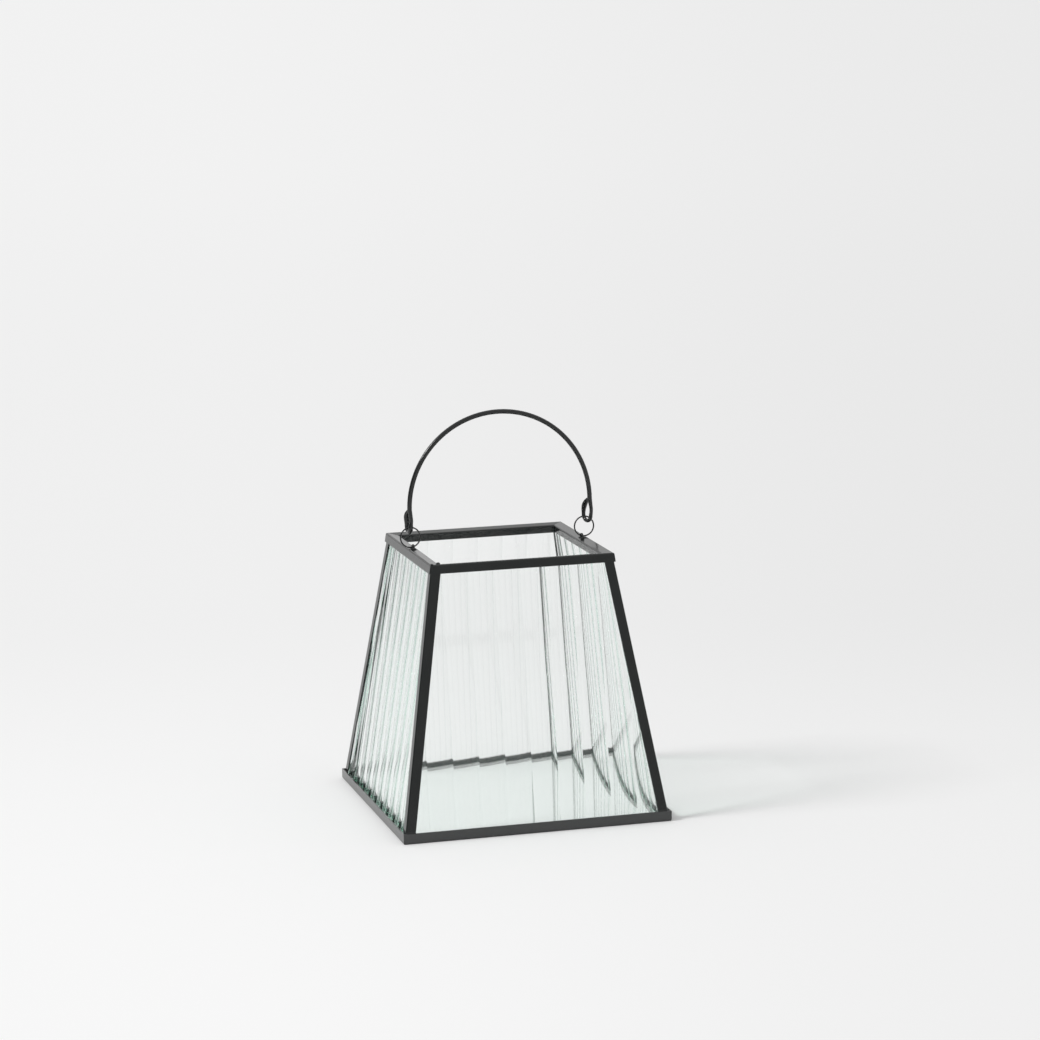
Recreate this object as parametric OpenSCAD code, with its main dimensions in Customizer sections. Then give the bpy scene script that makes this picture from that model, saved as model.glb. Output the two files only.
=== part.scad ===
// Candle lantern: an open-topped, four-sided pyramid of wide-fluted glass panes in a folded
// black iron frame, with a clear base plate and a wire bail hung in two wire rings.
// Millimetres, +Z up. The origin is the middle of the base, on the resting surface.
// The front faces -Y. The bail's two ends are over the left (-X) and right (+X) top rails.

/* [Frame] */
// Outer width and depth of the base frame
base_width = 190; // [170:1:210]
// Width and depth of the top frame, across the folds of its rails
top_width = 130; // [115:1:145]
// Height of the folds of the top frame above the resting surface
frame_height = 185; // [160:1:220]
// Thickness of the folded iron sheet
sheet = 0.8; // [0.6:0.1:1]
// Outer radius of the folds in the sheet
fold_radius = 1.1; // [1.1:0.1:1.5]
// Height of the base rails
base_rail_height = 7.3; // [6.5:0.1:12]
// Bearing of the base glass on the ledge of the base rails
ledge_bearing = 3.5; // [2.5:0.1:6]
// Width of each flange of a corner post
post_flange = 7; // [5.5:0.1:10]
// Height of the outer wall of a top rail, along the slope of the pane
top_rail_height = 6.4; // [5.5:0.1:9]
// Height of the inner wall of a top rail, along the slope of the pane
top_rail_lip = 5.5; // [4.5:0.1:8]
// Running clearance between sheet and glass, and between sheet and sheet
seat_gap = 0.2; // [0.1:0.05:0.3]

/* [Glass] */
// Thickness of a pane at the ridges between its flutes
pane_thickness = 5; // [4:0.1:5.4]
// Depth of the hollow flutes in the outer face
flute_depth = 1.8; // [1:0.1:2]
// Distance from one flute to the next
flute_pitch = 18.3; // [12:0.1:24]
// Shift of the flutes from the middle of the front and back panes
front_flute_shift = 7.2; // [-9:0.1:9]
// Shift of the flutes from the middle of the left and right panes
side_flute_shift = -2.9; // [-9:0.1:9]
// Gap between neighbouring panes at the corners
pane_corner_gap = 0.6; // [0.3:0.1:1]
// Thickness of the base glass
base_glass_thickness = 3; // [2:0.1:4]
// Gap between the edge of the base glass and the panes
base_glass_gap = 0.5; // [0.3:0.1:1]

/* [Eyelets and rings] */
// Width of an eyelet strip, across the rail
eyelet_width = 2.4; // [1.6:0.1:2.8]
// Thickness of an eyelet strip
eyelet_strip = 0.9; // [0.6:0.1:1.2]
// Inner radius of the arch of an eyelet
eyelet_radius = 1.7; // [1.5:0.1:2.2]
// Height of the hole of an eyelet
eyelet_hole = 3.4; // [3:0.1:4]
// Radius of a ring, to the middle of its wire
ring_radius = 7; // [6:0.1:9]
// Diameter of the ring wire
ring_wire = 1.2; // [1:0.1:1.4]
// Outward splay of a ring, from the eyelet to the eye of the bail
ring_splay = 15; // [8:1:20]
// Clearance between a ring and what it hangs in
ring_gap = 0.35; // [0.2:0.05:0.5]

/* [Bail] */
// Diameter of the bail rod
bail_rod = 3.3; // [2.8:0.1:4]
// Diameter of the rod in the two eyes, where it is drawn thinner
eye_rod = 2.5; // [2:0.1:2.8]
// Step in diameter where the drawn end begins
draw_step = 0.2; // [0.1:0.05:0.3]
// Radius of the round foot of an eye, to the middle of the rod
eye_radius = 4.1; // [3.6:0.1:5]
// Height of the straight side of an eye
eye_side = 1; // [0.5:0.1:3]
// Bend radius of the returned end that closes an eye
eye_return_radius = 13; // [10:0.5:18]
// Turn of the right eye out of the fore-and-aft plane, with its leg to the right
right_eye_turn = 20; // [5:1:30]
// Turn of the left eye out of the fore-and-aft plane, with its leg to the right
left_eye_turn = 10; // [5:1:30]
// Length of a leg, from the top of its ring to the foot of the half-round arch
bail_leg = 13.5; // [9:0.5:25]

/* [Hidden] */

$fn = 96;

// Quarter turns that carry a front piece to each side
FRONT = 0;
RIGHT = 1;
BACK = 2;
LEFT = 3;

IRON = [0.06, 0.06, 0.062];
GLASS = [0.85, 0.92, 0.88, 0.35];
// Overshoot of cutting shapes past what they cut
over = 1;

// Half widths, and the foot of the pyramid on the ledge
base_half = base_width / 2;
top_half = top_width / 2;
ledge_top = sheet;
post_foot = base_half - sheet - seat_gap;

// A top rail wraps post and pane: wall, gap, post, gap, pane, gap, wall
post_depth = sheet + seat_gap;
pane_depth = post_depth + sheet + seat_gap;
pane_back = pane_depth + pane_thickness;
top_rail_width = pane_back + seat_gap + sheet;

// Lean of the panes: the fold of the top rail lies post_depth outside the posts.
// Solved so that the outer faces of the posts run from post_foot to the top rail.
run = post_foot - top_half;
rise = frame_height - ledge_top;
lean = atan2(run, rise) + asin(post_depth / norm([run, rise]));

// Half width of the pyramid at a height, at a depth inside the outer faces of the posts
function half_at(z, depth) = post_foot - (z - ledge_top) * tan(lean) - depth / cos(lean);

// Height of the top flange at a distance x from the middle of the lantern
function rail_top(x) = frame_height - (top_half - x) * tan(lean);

// Panes and posts end just under the top flange; a pane stands on its inner lower edge
crown_gap = sheet + seat_gap;
post_top = frame_height - (post_depth + sheet) * sin(lean) - crown_gap * cos(lean);
pane_length = (frame_height - ledge_top - pane_back * sin(lean)) / cos(lean) - crown_gap;

// Base glass and ledge
base_glass_top = ledge_top + base_glass_thickness;
base_glass_half = half_at(base_glass_top, pane_back - post_depth) - base_glass_gap;
ledge_width = base_half - base_glass_half + ledge_bearing;

// Ring between its eyelet and the eye of the bail
eyelet_x = top_half - top_rail_width * cos(lean) / 2;
ring_reach = [ring_radius * sin(ring_splay), ring_radius * cos(ring_splay)];
ring_x = eyelet_x + ring_reach[0];
ring_z = rail_top(ring_x) + ring_gap + ring_wire / 2 + ring_radius;
hang_x = ring_x + ring_reach[0];
hang_z = ring_z + ring_reach[1];

// Eye of the bail: its foot lies under the wire of the ring
eye_foot = -(ring_wire / 2 + ring_gap + eye_rod / 2);
eye_centre = eye_foot + eye_radius;
// Its returned end bends over until it is set into the face of the leg
eye_return_sweep = acos(1 - (2 * eye_radius - bail_rod / 2) / eye_return_radius);

// Both legs of the bail stand in front of the hanging line, and carry the two ends of the arch
function leg_foot(side, turn) = [side * hang_x + eye_radius * sin(turn), -eye_radius * cos(turn)];
left_foot = leg_foot(-1, left_eye_turn);
right_foot = leg_foot(1, right_eye_turn);
bail_middle = (left_foot + right_foot) / 2;
bail_half = norm(right_foot - left_foot) / 2;
bail_turn = atan2(right_foot[1] - left_foot[1], right_foot[0] - left_foot[0]);
leg_taper = bail_leg / 3;

// ---------- shared shapes ----------

// Places a front piece at another side of the lantern
module at_side(side) {
  rotate([0, 0, 90 * side]) children();
}

// Keeps the quarter of a front piece between the mitre planes, less a gap along them
module mitred(gap = 0) {
  reach = base_width;
  cut = gap * sqrt(2);
  intersection() {
    children();
    translate([0, 0, -over])
      linear_extrude(frame_height + 2 * over)
        polygon([[0, -cut], [-reach, -reach - cut], [reach, -reach - cut]]);
  }
}

// Extrudes a profile of depth and height along a front rail that is centred on X
module rail(length) {
  rotate([90, 0, 90]) linear_extrude(length, center = true) children();
}

// Moves a front profile to the sloping plane of the top rails
module on_slope() {
  translate([0, -top_half, frame_height]) rotate([-lean, 0, 0]) children();
}

// Prism along Y whose sides follow the lean of the pyramid, at a half width set by inset
module leaning_prism(depth, inset, low, high) {
  wide = half_at(low, depth) - inset;
  narrow = half_at(high, depth) - inset;
  rotate([90, 0, 0])
    linear_extrude(2 * base_width, center = true)
      polygon([[-wide, low], [wide, low], [narrow, high], [-narrow, high]]);
}

// Square pyramid frustum at a depth inside the outer faces of the posts
module frustum(depth, low, high) {
  intersection() {
    leaning_prism(depth, 0, low, high);
    rotate([0, 0, 90]) leaning_prism(depth, 0, low, high);
  }
}

// Arc of round rod in the XZ plane, swept from a start angle
module rod_arc(radius, rod, start, sweep) {
  rotate([90, 0, 0])
    rotate([0, 0, start])
      rotate_extrude(angle = sweep) translate([radius, 0]) circle(d = rod);
}

// ---------- iron frame ----------

// Angle section of a base rail, with its outer fold at the foot
module base_rail_profile() {
  difference() {
    union() {
      translate([fold_radius, fold_radius]) circle(r = fold_radius);
      translate([0, fold_radius]) square([2 * fold_radius, base_rail_height - fold_radius]);
      translate([fold_radius, 0]) square([ledge_width - fold_radius, 2 * fold_radius]);
    }
    translate([sheet, sheet]) square([ledge_width, base_rail_height]);
  }
}

module base_rail(side) {
  color(IRON)
    at_side(side)
      mitred()
        translate([0, -base_half, 0]) rail(base_width) base_rail_profile();
}

// Inverted channel of a top rail: outer wall, top flange and a lower inner wall
module top_rail_profile() {
  inside = top_rail_width - 2 * sheet;
  difference() {
    union() {
      for (x = [fold_radius, top_rail_width - fold_radius])
        translate([x, -fold_radius]) circle(r = fold_radius);
      translate([fold_radius, -top_rail_height])
        square([top_rail_width - 2 * fold_radius, top_rail_height]);
      translate([0, -top_rail_height])
        square([top_rail_width, top_rail_height - fold_radius]);
    }
    translate([sheet, -top_rail_height - over])
      square([inside, top_rail_height + over - sheet]);
    translate([sheet + inside / 2, -top_rail_height - over])
      square([top_rail_width, top_rail_height + over - top_rail_lip]);
  }
}

module top_rail(side) {
  color(IRON)
    at_side(side)
      mitred()
        on_slope() rail(top_width) top_rail_profile();
}

// Rounded fold that runs up the leaning edge of a corner post
module leaning_fold(low, high) {
  start = half_at(low, fold_radius);
  end = half_at(high, fold_radius);
  climb = [start - end, start - end, high - low];
  length = norm(climb);
  translate([-start, -start, low])
    rotate([0, acos(climb[2] / length), 45])
      translate([0, 0, -over]) cylinder(h = length + 2 * over, r = fold_radius);
}

// Both pairs of leaning sides at once, which leaves a cross with open corners
module leaning_cross(depth, inset, low, high) {
  leaning_prism(depth, inset, low, high);
  rotate([0, 0, 90]) leaning_prism(depth, inset, low, high);
}

// Corner post of folded angle that wraps the edges of two panes, drawn in the front left corner
module corner_post(side) {
  low = ledge_top;
  high = post_top;
  color(IRON)
    at_side(side)
      difference() {
        intersection() {
          union() {
            intersection() {
              frustum(0, low, high);
              leaning_cross(fold_radius, 0, low, high);
            }
            leaning_fold(low, high);
          }
          translate([-base_half, -base_half, low]) cube([base_half, base_half, high - low]);
        }
        frustum(sheet, low - over, high + over);
        leaning_cross(0, post_flange, low - over, high + over);
      }
}

// ---------- glass ----------

// Section across a pane: flat inner face, hollow flutes that meet in ridges on the outer face
module pane_section(shift) {
  half = base_half + flute_pitch;
  count = ceil(half / flute_pitch);
  flute_radius = (pow(flute_pitch / 2, 2) + pow(flute_depth, 2)) / (2 * flute_depth);
  difference() {
    translate([-half, -over]) square([2 * half, pane_thickness + over]);
    for (i = [-count:count])
      translate([i * flute_pitch + shift, flute_depth - flute_radius])
        circle(r = flute_radius, $fn = 360);
  }
}

module glass_pane(side) {
  shift = side == LEFT || side == RIGHT ? side_flute_shift : front_flute_shift;
  color(GLASS)
    at_side(side)
      mitred(pane_corner_gap / 2)
        on_slope()
          translate([0, pane_depth, -crown_gap - pane_length])
            linear_extrude(pane_length) pane_section(shift);
}

module base_glass() {
  color(GLASS)
    translate([-base_glass_half, -base_glass_half, ledge_top])
      cube([2 * base_glass_half, 2 * base_glass_half, base_glass_thickness]);
}

// ---------- eyelets, rings and bail ----------

// Round-headed outline of a given radius, which runs below its foot by an extra depth
module arch_outline(radius, shoulder, below) {
  translate([-radius, -below]) square([2 * radius, shoulder + below]);
  translate([0, shoulder])
    intersection() {
      circle(r = radius);
      translate([-radius, 0]) square([2 * radius, radius]);
    }
}

// Strip arch on the flange of a top rail, in the plane of the rail
module eyelet(side) {
  shoulder = eyelet_hole - eyelet_radius;
  color(IRON)
    at_side(side)
      on_slope()
        translate([0, top_rail_width / 2, 0])
          rotate([90, 0, 0])
            linear_extrude(eyelet_width, center = true)
              difference() {
                arch_outline(eyelet_radius + eyelet_strip, shoulder, 0);
                arch_outline(eyelet_radius, shoulder, over);
              }
}

// Closed wire ring that stands in the XZ plane over its eyelet
module ring(direction) {
  color(IRON)
    translate([direction * ring_x, 0, ring_z])
      rotate([90, 0, 0])
        rotate_extrude() translate([ring_radius, 0]) circle(d = ring_wire);
}

// Eye and drawn foot of a leg, in the XZ plane, with the leg at +X
module eye() {
  translate([0, 0, eye_centre]) rod_arc(eye_radius, eye_rod, 180, 180);
  translate([-eye_radius, 0, eye_centre]) cylinder(h = eye_side, d = eye_rod);
  translate([eye_return_radius - eye_radius, 0, eye_centre + eye_side])
    rod_arc(eye_return_radius, eye_rod, 180, -eye_return_sweep);
  translate([eye_radius, 0, eye_centre])
    cylinder(h = bail_leg - leg_taper / 2 - eye_centre, d = eye_rod);
}

// Half-round arch, with the short tapers that carry it into the drawn ends
module arch() {
  translate([0, 0, bail_leg]) rod_arc(bail_half, bail_rod, 0, 180);
  for (end = [-1, 1])
    translate([end * bail_half, 0, bail_leg - leg_taper])
      cylinder(h = leg_taper, d1 = eye_rod + draw_step, d2 = bail_rod);
}

module bail_handle() {
  color(IRON)
    translate([0, 0, hang_z]) {
      translate(bail_middle) rotate([0, 0, bail_turn]) arch();
      translate([-hang_x, 0, 0]) rotate([0, 0, left_eye_turn - 90]) eye();
      translate([hang_x, 0, 0]) rotate([0, 0, right_eye_turn - 90]) eye();
    }
}

base_rail(FRONT);  // base_rail_front
base_rail(RIGHT);  // base_rail_right
base_rail(BACK);  // base_rail_back
base_rail(LEFT);  // base_rail_left
top_rail(FRONT);  // top_rail_front
top_rail(RIGHT);  // top_rail_right
top_rail(BACK);  // top_rail_back
top_rail(LEFT);  // top_rail_left
corner_post(FRONT);  // corner_post_front_left
corner_post(RIGHT);  // corner_post_front_right
corner_post(BACK);  // corner_post_back_right
corner_post(LEFT);  // corner_post_back_left
glass_pane(FRONT);  // glass_pane_front
glass_pane(RIGHT);  // glass_pane_right
glass_pane(BACK);  // glass_pane_back
glass_pane(LEFT);  // glass_pane_left
base_glass();
eyelet(LEFT);  // eyelet_left
eyelet(RIGHT);  // eyelet_right
ring(-1);  // ring_left
ring(1);  // ring_right
bail_handle();
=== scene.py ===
"""Candle lantern: fluted glass panes in a folded black iron frame, with a wire bail.

Metres, +Z up, front facing -Y. The folded rails and corner posts come from the CAD model.
The panes, base plate, eyelets, rings and bail are modelled here at a finer finish, and the
solder is added.
"""
from math import acos, asin, atan2, ceil, cos, hypot, pi, radians, sin, tan

import bpy
from mathutils import Matrix, Vector


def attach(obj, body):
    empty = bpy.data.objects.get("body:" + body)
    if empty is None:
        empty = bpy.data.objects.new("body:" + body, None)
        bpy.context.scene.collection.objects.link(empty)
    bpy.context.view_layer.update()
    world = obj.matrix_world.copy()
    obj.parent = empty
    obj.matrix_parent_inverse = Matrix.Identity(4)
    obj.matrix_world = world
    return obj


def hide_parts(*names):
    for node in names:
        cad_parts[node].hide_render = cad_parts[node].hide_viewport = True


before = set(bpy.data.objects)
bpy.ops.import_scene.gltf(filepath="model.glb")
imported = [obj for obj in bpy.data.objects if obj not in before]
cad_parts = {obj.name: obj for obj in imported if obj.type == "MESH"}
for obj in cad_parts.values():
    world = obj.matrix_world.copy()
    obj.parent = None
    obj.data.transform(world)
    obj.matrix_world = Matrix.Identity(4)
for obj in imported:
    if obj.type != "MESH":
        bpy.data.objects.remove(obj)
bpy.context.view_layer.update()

MM = 0.001
SIDES = ("front", "right", "back", "left")

# ---------- iron frame ----------
BASE_HALF = 95 * MM
TOP_HALF = 65 * MM
FRAME_HEIGHT = 185 * MM
SHEET = 0.8 * MM
SEAT_GAP = 0.2 * MM
POST_FOOT = BASE_HALF - SHEET - SEAT_GAP
POST_DEPTH = SHEET + SEAT_GAP
RUN = POST_FOOT - TOP_HALF
RISE = FRAME_HEIGHT - SHEET
LEAN = atan2(RUN, RISE) + asin(POST_DEPTH / hypot(RUN, RISE))


def rail_top(x):
    """Height of the sloping lip of a top rail at a distance from the middle."""
    return FRAME_HEIGHT - (TOP_HALF - x) * tan(LEAN)


# ---------- glass ----------
PANE_THICKNESS = 5 * MM
PANE_DEPTH = POST_DEPTH + SHEET + SEAT_GAP
PANE_BACK = PANE_DEPTH + PANE_THICKNESS
PANE_CORNER_GAP = 0.6 * MM
CROWN_GAP = SHEET + SEAT_GAP
PANE_LENGTH = (FRAME_HEIGHT - SHEET - PANE_BACK * sin(LEAN)) / cos(LEAN) - CROWN_GAP
PANE_CREASE = radians(20)
FLUTE_DEPTH = 1.7 * MM
FLUTE_PITCH = 18.3 * MM
FLUTE_STEPS = 24
FRONT_FLUTE_SHIFT = 7.2 * MM
SIDE_FLUTE_SHIFT = -2.9 * MM
PLATE_WIDTH = 173.9 * MM
PLATE_THICKNESS = 4.2 * MM
PLATE_ARRIS = 0.4 * MM

# ---------- eyelets and rings ----------
TOP_RAIL_WIDTH = PANE_BACK + SEAT_GAP + SHEET
EYELET_X = TOP_HALF - TOP_RAIL_WIDTH * cos(LEAN) / 2
RING_RADIUS = 7 * MM
RING_WIRE = 1.02 * MM
RING_SLIT = 0.4 * MM
RING_SPLAY = radians(15)
RING_FACETS, RING_STEPS = 16, 60
RIGHT_SLIT_TURN = radians(-38)
LEFT_SLIT_TURN = radians(110)
# The CAD ring has thicker wire, and its middle is kept
CAD_RING_WIRE = 1.2 * MM
CAD_RING_GAP = 0.35 * MM
RING_X = EYELET_X + RING_RADIUS * sin(RING_SPLAY)
RING_Z = rail_top(RING_X) + CAD_RING_GAP + CAD_RING_WIRE / 2 + RING_RADIUS
STAPLE_Z = RING_Z - RING_RADIUS * cos(RING_SPLAY)
STAPLE_WIRE = 0.9 * MM
STAPLE_SPREAD = 1.9
STAPLE_HOLE = 2 * MM
STAPLE_FACETS, STAPLE_STEPS = 12, 14
WIRE_CREASE = radians(50)

# ---------- bail ----------
HANG_X = RING_X + RING_RADIUS * sin(RING_SPLAY)
HANG_Z = RING_Z + RING_RADIUS * cos(RING_SPLAY)
BAIL_ROD = 3.3 * MM
BAIL_LEG = 13.5 * MM
BAIL_FACETS, ARCH_STEPS = 20, 72
BAIL_CREASE = radians(60)
EYE_ROD = 2.5 * MM
EYE_RADIUS = 4.1 * MM
EYE_STEPS = 18
EYE_SIDE = 1 * MM
EYE_CENTRE = EYE_RADIUS - CAD_RING_WIRE / 2 - CAD_RING_GAP - EYE_ROD / 2
EYE_RETURN_RADIUS = 13 * MM
EYE_RETURN_SWEEP = acos(1 - (2 * EYE_RADIUS - BAIL_ROD / 2) / EYE_RETURN_RADIUS)
RIGHT_LEG_TURN = RIGHT_EYE_TURN = radians(20)
LEFT_LEG_TURN, LEFT_EYE_TURN = radians(10), radians(4)
# Down the leg: the share of its kink, and of the rod's thickness, at each step
LEG = ((0.25, 0.94), (0.55, 0.86), (0.85, 0.79), (1.0, 0.76), (0.8, 0.76), (0.4, 0.76))
# Along the hammered end: how much broader each step is than the one before
LEAF = (1.12, 1.12, 1.1, 1.08, 1.02, 0.95, 0.88, 0.8, 0.7, 0.5)
LEAF_THINNING = 0.96

# ---------- solder ----------
LUMP_SEGMENTS, LUMP_RINGS = 14, 8
LUMP_FOOT = -0.1
LUMP_ROUGHNESS = 0.1
LUMP_SEED = 5
LUMP_CREASE = radians(60)
# Each drop: name, middle, half sizes, degrees turned about the upright
SOLDER = (
    ("eyelet_solder_right_front", (EYELET_X, -2 * MM), (2.3 * MM, 1.25 * MM, 1 * MM), 0),
    ("eyelet_solder_right_back", (EYELET_X, 2 * MM), (2.1 * MM, 1.1 * MM, 0.7 * MM), 160),
    ("eyelet_solder_left_front", (-EYELET_X, -2 * MM), (2.3 * MM, 1.25 * MM, 1 * MM), 180),
    ("eyelet_solder_left_back", (-EYELET_X, 2 * MM), (2 * MM, 1.1 * MM, 0.7 * MM), 20),
    ("mitre_solder_inner", (-57.9 * MM, -57.8 * MM), (1.7 * MM, 1.3 * MM, 1.3 * MM), 30),
    ("mitre_solder_outer", (-63.9 * MM, -64.1 * MM), (1.3 * MM, 1.1 * MM, 0.8 * MM), 75),
)

# ---------- finishes ----------
GLASS_IOR = 1.5
GLASS_DEPTH_COLOR = (0.5, 0.96, 0.78)
GLASS_DEPTH_DENSITY = 6
FLUTES_LET_THROUGH = (0.985, 0.995, 0.99)
FLUTES_HAZE = 0.045
PLATE_LETS_THROUGH = (0.996, 1.0, 0.999)
PLATE_HAZE = 0
IRON_DARK = (0.004, 0.006, 0.0055)
IRON_PALE = (0.008, 0.010, 0.0095)
IRON_ROUGHNESS = (0.14, 0.18)
IRON_PEEL = 0.02 * MM
# Painted light: a paler grey on the lowest band of the frame, standing for the bright floor's
# light on the base rails
IRON_PAINTED_FLOOR_LIGHT = (0.043, 0.045, 0.045)
PAINTED_FLOOR_LIGHT_BAND = (6.8 * MM, 8.5 * MM)
WIRE_DARK = (0.004, 0.005, 0.005)
WIRE_PALE = (0.008, 0.009, 0.009)
WIRE_ROUGHNESS = (0.16, 0.22)
WIRE_PEEL = 0.03 * MM
CLOUD_SCALE, CLOUD_BAND = 60, (0.35, 0.7)
RUBBED_SCALE, RUBBED_BAND = 300, (0.3, 0.7)
PEEL_SCALE, PEEL_STRENGTH = 2200, 0.15
# Sockets of a Mix node that mixes colours
MIX_COLOR_A, MIX_COLOR_B, MIX_COLOR_RESULT = 6, 7, 2

# ---------- the room ----------
# Distances run away from the front of the room or aside, and a fan is aside over away
FLOOR_SIZE = 80
ROOM_FRONT = (-0.602, -2.242)
ROOM_TURN = radians(15.4)
# The floor's colour carries painted light: brightest in front and on the left, dimmer to the
# right, and painted shade past the left edge
FLOOR_NEAR, FLOOR_NEAR_BAND = 0.944, (2.1, 3.0)
FLOOR_MIDDLE = 0.876
FLOOR_FAR, FLOOR_FAR_BAND = 0.892, (4, 9)
FLOOR_RIGHT, FLOOR_RIGHT_FAN = 0.932, (-0.11, 0.17)
FLOOR_PAST_EDGE, FLOOR_EDGE_BAND, FLOOR_EDGE_FAN = 0.14, (-3, -1.2), (-0.26, -0.18)
WORLD_LIGHT = 0.64
WORLD_SEEN, WORLD_LOW_BAND = 0.88, (0.25, 0.6)
WORLD_FRONT, WORLD_FRONT_BAND = 0.56, (-0.75, -0.35)
WORLD_LEFT, WORLD_LEFT_BAND = 0.2, (-0.8, -0.5)
LAMP_PLACE = (-2, 0, 1.72)
LAMP_STRENGTH = 1.69
LAMP_SPREAD = radians(18)
CAMERA_PLACE = (-0.60193, -2.24188, 0.61731)
CAMERA_YAW = radians(15.41565)
CAMERA_PITCH = radians(-10.17767)
CAMERA_ROLL = radians(-0.95308)
CAMERA_LENS, CAMERA_SENSOR = 116.929, 36
CAMERA_REACH = 100
LIGHT_BOUNCES = 48


# ---------- bench work ----------
def pick(piece):
    """Leaves edit mode and selects one piece alone."""
    if bpy.context.mode != "OBJECT":
        bpy.ops.object.mode_set(mode="OBJECT")
    bpy.ops.object.select_all(action="DESELECT")
    piece.select_set(True)
    bpy.context.view_layer.objects.active = piece


def open_up(piece):
    """Opens one piece for work, selected all over."""
    pick(piece)
    bpy.ops.object.mode_set(mode="EDIT")
    bpy.ops.mesh.select_all(action="SELECT")


def begin(name, add_shape, **sizes):
    """Adds a simple shape and opens it for work."""
    bpy.ops.object.select_all(action="DESELECT")
    add_shape(**sizes)
    piece = bpy.context.object
    piece.name = name
    open_up(piece)
    return piece


def put_down():
    bpy.ops.object.mode_set(mode="OBJECT")


def face_out():
    """Turns every face of the open piece outwards and puts the piece down."""
    bpy.ops.mesh.select_all(action="SELECT")
    bpy.ops.mesh.normals_make_consistent(inside=False)
    put_down()


def choose(piece, test):
    """Selects only the points of the open piece whose place passes a test."""
    bpy.ops.mesh.select_all(action="DESELECT")
    put_down()
    for point in piece.data.vertices:
        point.select = test(point.co)
    bpy.ops.object.mode_set(mode="EDIT")


def cap_ends(piece, first_end):
    """Closes the open end that is selected, then the one that the rod was drawn from."""
    bpy.ops.mesh.edge_face_add()
    choose(piece, first_end)
    bpy.ops.mesh.edge_face_add()


def bend(steps, angle, center, axis):
    """Draws the selected open end on along an arc, counted right-handed round the axis."""
    bpy.ops.mesh.spin(steps=steps, angle=-angle, center=center, axis=axis)


def draw_on(x, y, z):
    """Draws the selected open end straight on."""
    bpy.ops.mesh.extrude_region_move(TRANSFORM_OT_translate={"value": (x, y, z)})


def pinch(x, y, z):
    """Squeezes or spreads what is selected about its own middle."""
    bpy.ops.transform.resize(value=(x, y, z))


def add_modifier(piece, kind, **settings):
    """Adds a modifier with its settings and applies it."""
    pick(piece)
    modifier = piece.modifiers.new(kind.title(), kind)
    for name, value in settings.items():
        setattr(modifier, name, value)
    bpy.ops.object.modifier_apply(modifier=modifier.name)


def turn_mesh(piece, matrix):
    piece.data.transform(matrix)
    piece.data.update()


def twin(piece, name):
    """A copy of a piece with a mesh of its own."""
    copy = piece.copy()
    copy.data = piece.data.copy()
    copy.name = copy.data.name = name
    bpy.context.collection.objects.link(copy)
    return copy


def smooth(piece, crease):
    pick(piece)
    bpy.ops.object.shade_smooth_by_angle(angle=crease)


# ---------- cutting the glass ----------
def fluted_blank(name, shift):
    """Fluted blank standing in the XZ plane: flutes on the -Y face, flat back behind them."""
    flute_radius = ((FLUTE_PITCH / 2) ** 2 + FLUTE_DEPTH ** 2) / (2 * FLUTE_DEPTH)
    half_angle = asin(FLUTE_PITCH / 2 / flute_radius)
    count = 2 * ceil(BASE_HALF / FLUTE_PITCH) + 1
    # One ridge line, spun round the middle of the flute's curve
    blank = begin(name, bpy.ops.mesh.primitive_plane_add, size=FLUTE_PITCH)
    bpy.ops.mesh.merge(type="CENTER")
    bpy.ops.transform.translate(value=(-FLUTE_PITCH / 2, 0, 0))
    bpy.ops.mesh.select_all(action="SELECT")
    bpy.ops.mesh.spin(steps=FLUTE_STEPS, angle=2 * half_angle,
                      center=(0, FLUTE_DEPTH - flute_radius, 0), axis=(0, 0, 1))
    bpy.ops.mesh.select_all(action="SELECT")
    draw_on(0, 0, PANE_LENGTH)
    put_down()
    add_modifier(blank, "ARRAY", count=count, use_relative_offset=False,
                 use_constant_offset=True, constant_offset_displace=(FLUTE_PITCH, 0, 0),
                 use_merge_vertices=True, merge_threshold=0.001 * MM)
    open_up(blank)
    bpy.ops.transform.translate(value=(shift - (count - 1) / 2 * FLUTE_PITCH, 0, 0))
    # The glass behind the flutes, trimmed to a flat back
    draw_on(0, 2 * PANE_THICKNESS, 0)
    bpy.ops.mesh.select_all(action="SELECT")
    bpy.ops.mesh.bisect(plane_co=(0, PANE_THICKNESS, 0), plane_no=(0, 1, 0),
                        use_fill=True, clear_outer=True)
    face_out()
    return blank


def cut_and_lean(blank):
    """Leans the blank into the front plane of the pyramid and cuts its two mitred edges."""
    turn_mesh(blank, Matrix.Translation((0, -TOP_HALF, FRAME_HEIGHT))
              @ Matrix.Rotation(-LEAN, 4, "X")
              @ Matrix.Translation((0, PANE_DEPTH, -CROWN_GAP - PANE_LENGTH)))
    for hand in (-1, 1):
        open_up(blank)
        bpy.ops.mesh.bisect(plane_co=(0, -PANE_CORNER_GAP / 2 * 2 ** 0.5, 0),
                            plane_no=(hand, 1, 0), use_fill=True, clear_outer=True)
        put_down()


def glass_panes():
    """The front and right panes, each cut from its own sheet and copied for the side opposite."""
    panes = {}
    for quarter, shift in enumerate((FRONT_FLUTE_SHIFT, SIDE_FLUTE_SHIFT)):
        side, opposite = SIDES[quarter], SIDES[quarter + 2]
        panes[side] = fluted_blank("fluted_pane_" + side, shift)
        cut_and_lean(panes[side])
        smooth(panes[side], PANE_CREASE)
        turn_mesh(panes[side], Matrix.Rotation(quarter * pi / 2, 4, "Z"))
        panes[opposite] = twin(panes[side], "fluted_pane_" + opposite)
        turn_mesh(panes[opposite], Matrix.Rotation(pi, 4, "Z"))
    return panes


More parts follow.
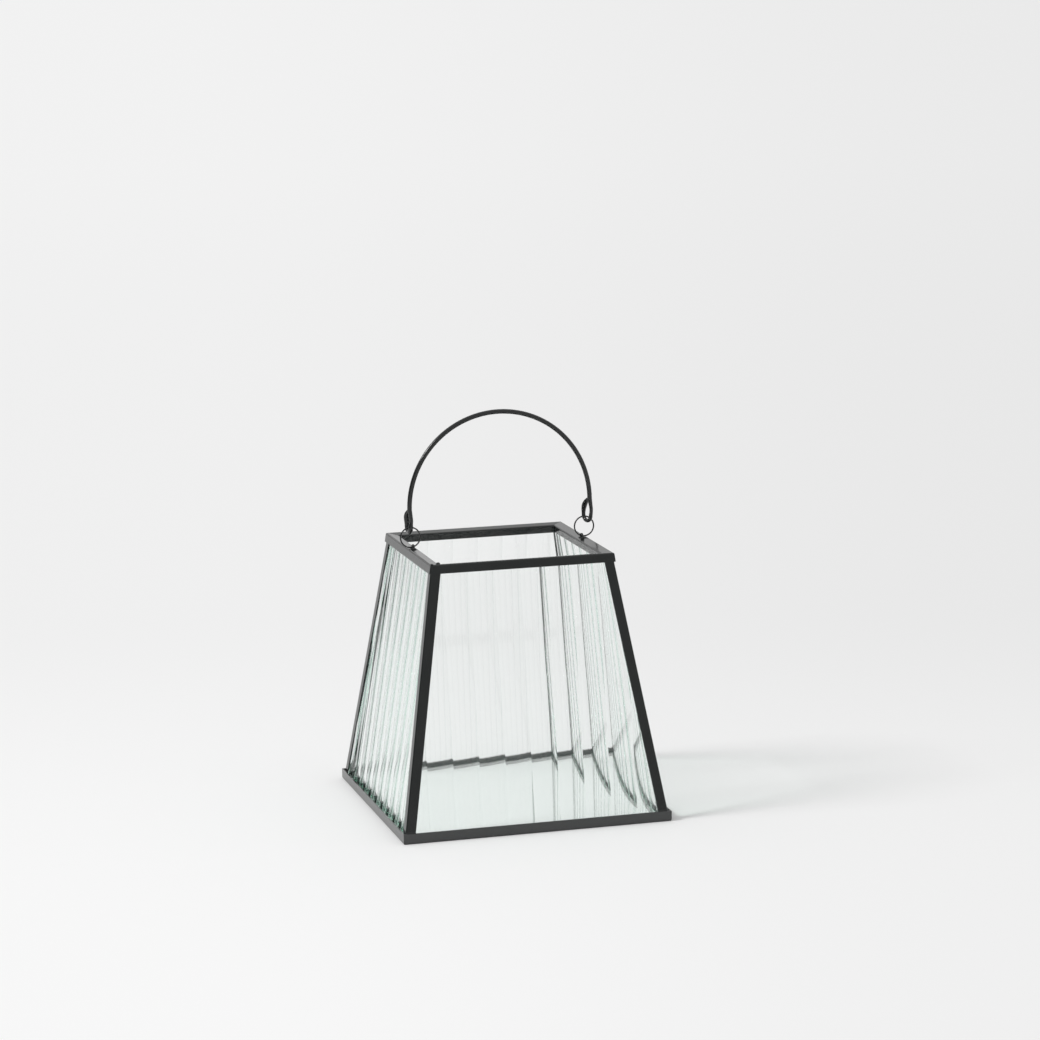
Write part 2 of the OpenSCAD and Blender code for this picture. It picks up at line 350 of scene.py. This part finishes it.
def base_plate():
    """Plain glass plate with ground arrises, lying on the ledge of the base rails."""
    plate = begin("base_plate", bpy.ops.mesh.primitive_cube_add, size=1)
    pinch(PLATE_WIDTH, PLATE_WIDTH, PLATE_THICKNESS)
    bpy.ops.transform.translate(value=(0, 0, SHEET + PLATE_THICKNESS / 2))
    put_down()
    add_modifier(plate, "BEVEL", width=PLATE_ARRIS, segments=1, limit_method="ANGLE")
    return plate


# ---------- bending the bail ----------
def leg_foot(side, turn):
    """Where a leg stands over its ring, in front of the line that the bail hangs by."""
    return Vector((side * HANG_X + EYE_RADIUS * sin(turn), -EYE_RADIUS * cos(turn), 0))


def bail_eye(bail, side, turn, kink, slip, drop, stout):
    """Draws one leg down, bends its eye and brings the hammered end back past the leg.

    The leg bulges to the right by its kink. The eye is turned about the upright, sits a slip
    to the right and a drop lower, and its rod is stouter than the leg's by a factor.
    """
    leg = Vector((sin(turn), -cos(turn), 0))
    square = Vector((cos(turn), sin(turn), 0))
    centre = Vector((side * HANG_X + slip, 0, HANG_Z - drop + EYE_CENTRE))
    choose(bail, lambda co: abs(co.z - HANG_Z - BAIL_LEG) < 0.001 * MM and co.x * side > 0)
    end = [point.co for point in bail.data.vertices if point.select]
    way = (centre + leg * EYE_RADIUS - sum(end, Vector()) / len(end)) / len(LEG)
    bulge_before, share_before = 0, 1
    for bulge, share in LEG:
        draw_on(way.x + kink * (bulge - bulge_before), way.y, way.z)
        pinch(share / share_before, share / share_before, 1)
        bulge_before, share_before = bulge, share
    pinch(stout, stout, 1)
    bend(EYE_STEPS, pi, centre, square)
    draw_on(0, 0, EYE_SIDE)
    # The returned end, hammered broad and then down to a point
    middle = centre + leg * (EYE_RETURN_RADIUS - EYE_RADIUS) + Vector((0, 0, EYE_SIDE))
    for spread in LEAF:
        bend(1, EYE_RETURN_SWEEP / len(LEAF), middle, square)
        pinch(spread, LEAF_THINNING, LEAF_THINNING)
    bpy.ops.mesh.edge_face_add()


def wire_bail():
    """One rod bent over in an arch, with an eye at each end."""
    left_foot, right_foot = leg_foot(-1, LEFT_LEG_TURN), leg_foot(1, RIGHT_LEG_TURN)
    arch_foot = Vector((0, 0, HANG_Z + BAIL_LEG))
    middle = (left_foot + right_foot) / 2 + arch_foot
    across = (right_foot - left_foot).normalized()
    bail = begin("bail_wire", bpy.ops.mesh.primitive_circle_add,
                 vertices=BAIL_FACETS, radius=BAIL_ROD / 2)
    bpy.ops.transform.rotate(value=pi / BAIL_FACETS, orient_axis="Z",
                             center_override=(0, 0, 0))
    bpy.ops.transform.translate(value=right_foot + arch_foot)
    bend(ARCH_STEPS, -pi, middle, Vector((-across.y, across.x, 0)))
    bail_eye(bail, -1, LEFT_EYE_TURN, kink=1.1 * MM, slip=0.5 * MM, drop=0.8 * MM, stout=1.36)
    bail_eye(bail, 1, RIGHT_EYE_TURN, kink=0.9 * MM, slip=0.3 * MM, drop=0.8 * MM, stout=1.08)
    face_out()
    smooth(bail, BAIL_CREASE)
    return bail


# ---------- bending the eyelets and rings ----------
def staple():
    """Flattened wire bent into a staple over the right ring's foot."""
    foot = rail_top(EYELET_X)
    wire_staple = begin("eyelet_staple_right", bpy.ops.mesh.primitive_circle_add,
                        vertices=STAPLE_FACETS, radius=STAPLE_WIRE / 2)
    pinch(STAPLE_SPREAD, 1, 1)
    bpy.ops.transform.translate(value=(EYELET_X, -(STAPLE_HOLE + STAPLE_WIRE) / 2, foot))
    draw_on(0, 0, STAPLE_Z - foot)
    bend(STAPLE_STEPS, -pi, (EYELET_X, 0, STAPLE_Z), (1, 0, 0))
    draw_on(0, 0, foot - STAPLE_Z)
    cap_ends(wire_staple, lambda co: co.y < 0 and co.z < foot + 0.001 * MM)
    face_out()
    smooth(wire_staple, WIRE_CREASE)
    return wire_staple


def jump_ring():
    """Thin wire bent round to a ring, its two ends a hair apart at +X."""
    ring = begin("ring_wire_right", bpy.ops.mesh.primitive_circle_add,
                 vertices=RING_FACETS, radius=RING_WIRE / 2)
    bpy.ops.transform.translate(value=(RING_RADIUS, 0, 0))
    bend(RING_STEPS, 2 * pi - RING_SLIT / RING_RADIUS, (0, 0, 0), (0, -1, 0))
    cap_ends(ring, lambda co: abs(co.z) < 0.001 * MM and co.x > 0)
    face_out()
    smooth(ring, WIRE_CREASE)
    return ring


def wire_rings():
    """Both rings in their eyelets: the right one's slit is up on the outside, the left's low."""
    right = jump_ring()
    left = twin(right, "ring_wire_left")
    for ring, x, turn in ((right, RING_X, RIGHT_SLIT_TURN), (left, -RING_X, LEFT_SLIT_TURN)):
        turn_mesh(ring, Matrix.Translation((x, 0, RING_Z)) @ Matrix.Rotation(turn, 4, "Y"))
    return {"right": right, "left": left}


# ---------- dropping the solder ----------
def solder_lump():
    """A frozen drop of solder, flat underneath, one metre in each half before it is scaled."""
    lump = begin("solder_lump", bpy.ops.mesh.primitive_uv_sphere_add,
                 segments=LUMP_SEGMENTS, ring_count=LUMP_RINGS, radius=1)
    bpy.ops.transform.vertex_random(offset=LUMP_ROUGHNESS, seed=LUMP_SEED)
    bpy.ops.mesh.bisect(plane_co=(0, 0, LUMP_FOOT), plane_no=(0, 0, 1),
                        use_fill=True, clear_inner=True)
    face_out()
    add_modifier(lump, "SUBSURF", levels=1)
    smooth(lump, LUMP_CREASE)
    return lump


def solder_drops():
    """The lump, copied and scaled for each place on the sloping lips of the top rails."""
    lump = solder_lump()
    drops = []
    for name, (x, y), size, turn in SOLDER:
        if name.startswith("eyelet"):
            height, tilt = rail_top(abs(x)), Matrix.Rotation(-LEAN if x > 0 else LEAN, 4, "Y")
        else:
            height, tilt = rail_top(-y), Matrix.Rotation(-LEAN, 4, "X")
        drop = twin(lump, name)
        turn_mesh(drop, Matrix.Translation((x, y, height)) @ tilt
                  @ Matrix.Diagonal((*size, 1)) @ Matrix.Rotation(radians(turn), 4, "Z"))
        drops.append(drop)
    bpy.data.objects.remove(lump)
    return drops


# ---------- mixing the finishes ----------
def new_finish(name):
    finish = bpy.data.materials.new(name)
    finish.use_nodes = True
    tree = finish.node_tree
    return finish, tree, next(n for n in tree.nodes if n.type == "BSDF_PRINCIPLED")


def fill(node, **values):
    """Sets a node's sockets; an underscore in a name stands for a space."""
    for name, value in values.items():
        node.inputs[name.replace("_", " ")].default_value = value


def slope(tree, source, band, low, high, curve="SMOOTHSTEP"):
    """A value that runs from low to high as the source runs through a band."""
    node = tree.nodes.new("ShaderNodeMapRange")
    node.interpolation_type = curve
    fill(node, From_Min=band[0], From_Max=band[1], To_Min=low, To_Max=high)
    tree.links.new(source, node.inputs["Value"])
    return node.outputs["Result"]


def reckon(tree, operation, first, second):
    """A sum on two values, each a number or a socket."""
    node = tree.nodes.new("ShaderNodeMath")
    node.operation = operation
    for socket, value in zip(node.inputs, (first, second)):
        if isinstance(value, (int, float)):
            socket.default_value = value
        else:
            tree.links.new(value, socket)
    return node.outputs["Value"]


def split_up(tree, place):
    """The X, Y and Z of a place."""
    split = tree.nodes.new("ShaderNodeSeparateXYZ")
    tree.links.new(place, split.inputs["Vector"])
    return split.outputs


def noise(tree, scale, detail=3):
    """Noise on the piece's own coordinates."""
    place = tree.nodes.new("ShaderNodeTexCoord")
    node = tree.nodes.new("ShaderNodeTexNoise")
    fill(node, Scale=scale, Detail=detail)
    tree.links.new(place.outputs["Object"], node.inputs["Vector"])
    return node.outputs["Fac"]


def with_painted_floor_light(tree, paint, painted_floor_light):
    """The paint, made paler at the foot of the frame: painted light for the bright floor's light
    thrown back onto the base rails.
    """
    place = tree.nodes.new("ShaderNodeTexCoord")
    height = split_up(tree, place.outputs["Object"])["Z"]
    mix = tree.nodes.new("ShaderNodeMix")
    mix.data_type = "RGBA"
    mix.inputs[MIX_COLOR_B].default_value = (*painted_floor_light, 1)
    tree.links.new(paint, mix.inputs[MIX_COLOR_A])
    tree.links.new(slope(tree, height, PAINTED_FLOOR_LIGHT_BAND, 1, 0), mix.inputs["Factor"])
    return mix.outputs[MIX_COLOR_RESULT]


def black_paint(name, dark, pale, roughness, peel, painted_floor_light=None):
    """Satin black paint, slightly cloudy, with a fine orange peel and maybe a foot painted paler
    as painted floor light.
    """
    finish, tree, shader = new_finish(name)
    clouds = tree.nodes.new("ShaderNodeValToRGB")
    for stop, place, color in zip(clouds.color_ramp.elements, CLOUD_BAND, (dark, pale)):
        stop.position = place
        stop.color = (*color, 1)
    tree.links.new(noise(tree, CLOUD_SCALE), clouds.inputs["Fac"])
    paint = clouds.outputs["Color"]
    # Painted light: the foot of the frame is painted paler for the floor's reflected light
    if painted_floor_light:
        paint = with_painted_floor_light(tree, paint, painted_floor_light)
    tree.links.new(paint, shader.inputs["Base Color"])
    rubbed = slope(tree, noise(tree, RUBBED_SCALE), RUBBED_BAND, *roughness, curve="LINEAR")
    tree.links.new(rubbed, shader.inputs["Roughness"])
    skin = tree.nodes.new("ShaderNodeBump")
    fill(skin, Strength=PEEL_STRENGTH, Distance=peel)
    tree.links.new(noise(tree, PEEL_SCALE, 2), skin.inputs["Height"])
    tree.links.new(skin.outputs["Normal"], shader.inputs["Normal"])
    return finish


def clear_glass(name, lets_through, haze):
    """Clear glass, faintly green in its depth, that lets the lamp through."""
    finish, tree, shader = new_finish(name)
    fill(shader, Base_Color=(1, 1, 1, 1), Roughness=haze, IOR=GLASS_IOR, Transmission_Weight=1)
    out = next(n for n in tree.nodes if n.type == "OUTPUT_MATERIAL")
    open_to_light = tree.nodes.new("ShaderNodeBsdfTransparent")
    fill(open_to_light, Color=(*lets_through, 1))
    path = tree.nodes.new("ShaderNodeLightPath")
    lit = reckon(tree, "MAXIMUM", path.outputs["Is Shadow Ray"], path.outputs["Is Diffuse Ray"])
    mix = tree.nodes.new("ShaderNodeMixShader")
    for source, socket in zip((lit, shader.outputs["BSDF"], open_to_light.outputs["BSDF"]),
                              mix.inputs):
        tree.links.new(source, socket)
    tree.links.new(mix.outputs["Shader"], out.inputs["Surface"])
    depth = tree.nodes.new("ShaderNodeVolumeAbsorption")
    fill(depth, Color=(*GLASS_DEPTH_COLOR, 1), Density=GLASS_DEPTH_DENSITY)
    tree.links.new(depth.outputs["Volume"], out.inputs["Volume"])
    return finish


def coat(piece, finish):
    piece.data.materials.clear()
    piece.data.materials.append(finish)


# ---------- setting up the room ----------
def studio_floor():
    """A wide matt floor carrying painted light: palest in front and on the left as painted light
    falloff, and painted shade dark past its left edge.
    """
    bpy.ops.object.select_all(action="DESELECT")
    bpy.ops.mesh.primitive_plane_add(size=FLOOR_SIZE)
    floor = bpy.context.object
    floor.name = "studio_floor"
    paint, tree, shader = new_finish("studio_floor_paint")
    # The floor's own axes, turned and moved to run straight away from the front of the room
    place = tree.nodes.new("ShaderNodeTexCoord")
    turn = tree.nodes.new("ShaderNodeMapping")
    turn.vector_type = "TEXTURE"
    fill(turn, Location=(*ROOM_FRONT, 0), Rotation=(0, 0, -ROOM_TURN))
    tree.links.new(place.outputs["Object"], turn.inputs["Vector"])
    axes = split_up(tree, turn.outputs["Vector"])
    aside, away = axes["X"], axes["Y"]
    fan = reckon(tree, "DIVIDE", aside, away)
    # Painted light falloff across the floor, then painted shade past its left edge
    near = slope(tree, away, FLOOR_NEAR_BAND, FLOOR_NEAR, FLOOR_MIDDLE)
    far = slope(tree, away, FLOOR_FAR_BAND, 0, FLOOR_FAR - FLOOR_MIDDLE)
    across = slope(tree, fan, FLOOR_RIGHT_FAN, 1, FLOOR_RIGHT)
    grey = reckon(tree, "MULTIPLY", reckon(tree, "ADD", near, far), across)
    past_edge = reckon(tree, "MAXIMUM",
                       slope(tree, aside, FLOOR_EDGE_BAND, FLOOR_PAST_EDGE, 1),
                       slope(tree, fan, FLOOR_EDGE_FAN, 0, 1))
    grey = reckon(tree, "MULTIPLY", grey, past_edge)
    color = tree.nodes.new("ShaderNodeCombineColor")
    for channel in ("Red", "Green", "Blue"):
        tree.links.new(grey, color.inputs[channel])
    tree.links.new(color.outputs["Color"], shader.inputs["Base Color"])
    fill(shader, Roughness=1, Specular_IOR_Level=0)
    coat(floor, paint)


def studio_world():
    """Even light from all round; gloss and glass see a room dimmer in front and on the left."""
    world = bpy.data.worlds.new("studio")
    bpy.context.scene.world = world
    world.use_nodes = True
    tree = world.node_tree
    background = next(n for n in tree.nodes if n.type == "BACKGROUND")
    fill(background, Color=(1, 1, 1, 1))
    place = tree.nodes.new("ShaderNodeTexCoord")
    way = split_up(tree, place.outputs["Generated"])
    low = slope(tree, way["Z"], WORLD_LOW_BAND, 1, 0)
    frontward = reckon(tree, "MULTIPLY", low, slope(tree, way["Y"], WORLD_FRONT_BAND, 1, 0))
    leftward = reckon(tree, "MULTIPLY", low, slope(tree, way["X"], WORLD_LEFT_BAND, 1, 0))
    seen = reckon(tree, "MINIMUM", slope(tree, frontward, (0, 1), WORLD_SEEN, WORLD_FRONT),
                  slope(tree, leftward, (0, 1), WORLD_SEEN, WORLD_LEFT))
    path = tree.nodes.new("ShaderNodeLightPath")
    sharp = reckon(tree, "MAXIMUM", path.outputs["Is Glossy Ray"],
                   path.outputs["Is Transmission Ray"])
    sharp = reckon(tree, "MAXIMUM", sharp, path.outputs["Is Camera Ray"])
    extra = reckon(tree, "MULTIPLY", sharp, reckon(tree, "SUBTRACT", seen, WORLD_LIGHT))
    tree.links.new(reckon(tree, "ADD", extra, WORLD_LIGHT), background.inputs["Strength"])


def studio_lamp():
    """A lamp high on the left, square to the lantern."""
    bpy.ops.object.light_add(type="SUN", location=LAMP_PLACE)
    lamp = bpy.context.object
    lamp.name = "soft_lamp"
    lamp.data.energy = LAMP_STRENGTH
    lamp.data.angle = LAMP_SPREAD
    lamp.rotation_euler = (-lamp.location).to_track_quat("-Z", "Y").to_euler()


def camera():
    """A long lens in front on the left, looking a little down."""
    yaw, pitch, roll = CAMERA_YAW, CAMERA_PITCH, CAMERA_ROLL
    forward = Vector((sin(yaw) * cos(pitch), cos(yaw) * cos(pitch), sin(pitch)))
    side = forward.cross(Vector((0, 0, 1))).normalized()
    up = side.cross(forward)
    right = cos(roll) * side + sin(roll) * up
    top = cos(roll) * up - sin(roll) * side
    lens = bpy.data.cameras.new("studio_camera")
    lens.lens = CAMERA_LENS
    lens.sensor_width = CAMERA_SENSOR
    lens.clip_end = CAMERA_REACH
    eye = bpy.data.objects.new("studio_camera", lens)
    bpy.context.collection.objects.link(eye)
    turn = Matrix((right, top, -forward)).transposed().to_4x4()
    eye.matrix_world = Matrix.Translation(CAMERA_PLACE) @ turn
    bpy.context.scene.camera = eye


# ---------- assembly ----------
# The iron's paler foot is painted floor light, not a colour of the paint
iron = black_paint("black_iron_paint", IRON_DARK, IRON_PALE, IRON_ROUGHNESS, IRON_PEEL,
                   IRON_PAINTED_FLOOR_LIGHT)
wire = black_paint("black_wire_paint", WIRE_DARK, WIRE_PALE, WIRE_ROUGHNESS, WIRE_PEEL)
glass = clear_glass("fluted_glass", FLUTES_LET_THROUGH, FLUTES_HAZE)
plate_glass = clear_glass("base_glass", PLATE_LETS_THROUGH, PLATE_HAZE)

for node_name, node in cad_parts.items():
    if node_name.startswith(("base_rail", "top_rail", "corner_post")):
        coat(node, iron)

for side, pane in glass_panes().items():
    coat(pane, glass)
    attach(pane, "lantern_frame")
    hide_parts("glass_pane_" + side)

plate = base_plate()
coat(plate, plate_glass)
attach(plate, "lantern_frame")
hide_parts("base_glass")

bail = wire_bail()
coat(bail, wire)
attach(bail, "bail")
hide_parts("bail_handle")

for side, ring in wire_rings().items():
    coat(ring, wire)
    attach(ring, side + "_ring")
    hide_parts("ring_" + side)

right_staple = staple()
left_staple = twin(right_staple, "eyelet_staple_left")
turn_mesh(left_staple, Matrix.Rotation(pi, 4, "Z"))
for eyelet, node_name in ((right_staple, "eyelet_right"), (left_staple, "eyelet_left")):
    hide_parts(node_name)
for detail in (right_staple, left_staple, *solder_drops()):
    coat(detail, iron)
    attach(detail, "lantern_frame")

camera()
studio_floor()
studio_world()
studio_lamp()

bpy.context.scene.view_settings.view_transform = "Standard"

# Light runs a long way between the flutes before it leaves a pane
paths = bpy.context.scene.cycles
paths.max_bounces = paths.transmission_bounces = paths.glossy_bounces = LIGHT_BOUNCES
